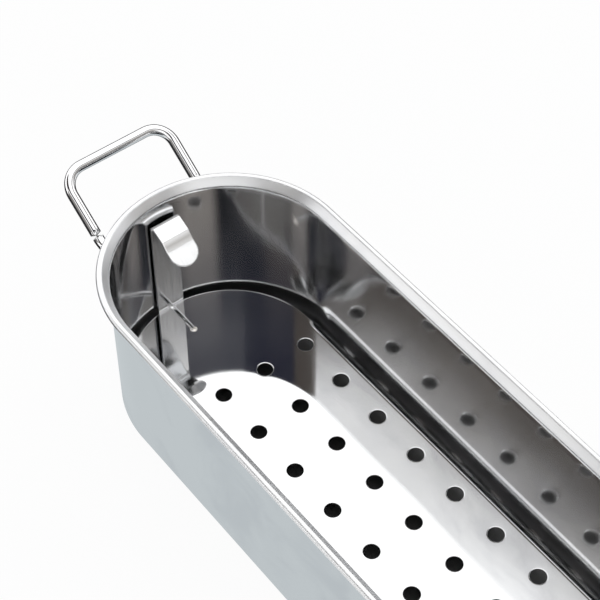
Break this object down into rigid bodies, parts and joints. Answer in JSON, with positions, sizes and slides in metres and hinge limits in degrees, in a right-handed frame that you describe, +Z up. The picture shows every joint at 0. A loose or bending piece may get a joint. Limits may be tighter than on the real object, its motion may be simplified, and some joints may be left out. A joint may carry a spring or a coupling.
{
  "type": "fish poacher",
  "caption": "Long oval stainless steel pot with a rolled rim, bent rod end handles and a lift-out perforated rack with upright lifting tabs.",
  "frame": {"origin": "middle of the pot's flat underside", "axes": "+X along the pot towards the near handle, +Y across it, +Z up out of the mouth"},
  "size_m": [0.555, 0.1446, 0.1144],
  "materials": {
    "wall_steel": "polished inside and out, faint upright brushing",
    "floor_steel": "satin",
    "rod_steel": "bright polished rod",
    "weld_steel": "dressed weld",
    "rack_steel": "mirror polished sheet",
    "tab_steel": "mirror polished strip"
  },
  "bodies": {
    "pot": {"wall_band": "wall_steel", "floor_sheet": "floor_steel", "far_handle": "rod_steel", "near_handle": "rod_steel", "handle_welds": "weld_steel"},
    "rack": {"rack_plate": "rack_steel", "far_tab": "tab_steel", "near_tab": "tab_steel", "tab_welds": "weld_steel", "far_left_foot": "rack_steel", "far_right_foot": "rack_steel", "near_left_foot": "rack_steel", "near_right_foot": "rack_steel"}
  },
  "joints": [
    {"name": "rack_lift", "type": "slide", "parent": "pot", "child": "rack", "axis": [0, 0, 1], "range_m": [0, 0.116]}
  ]
}
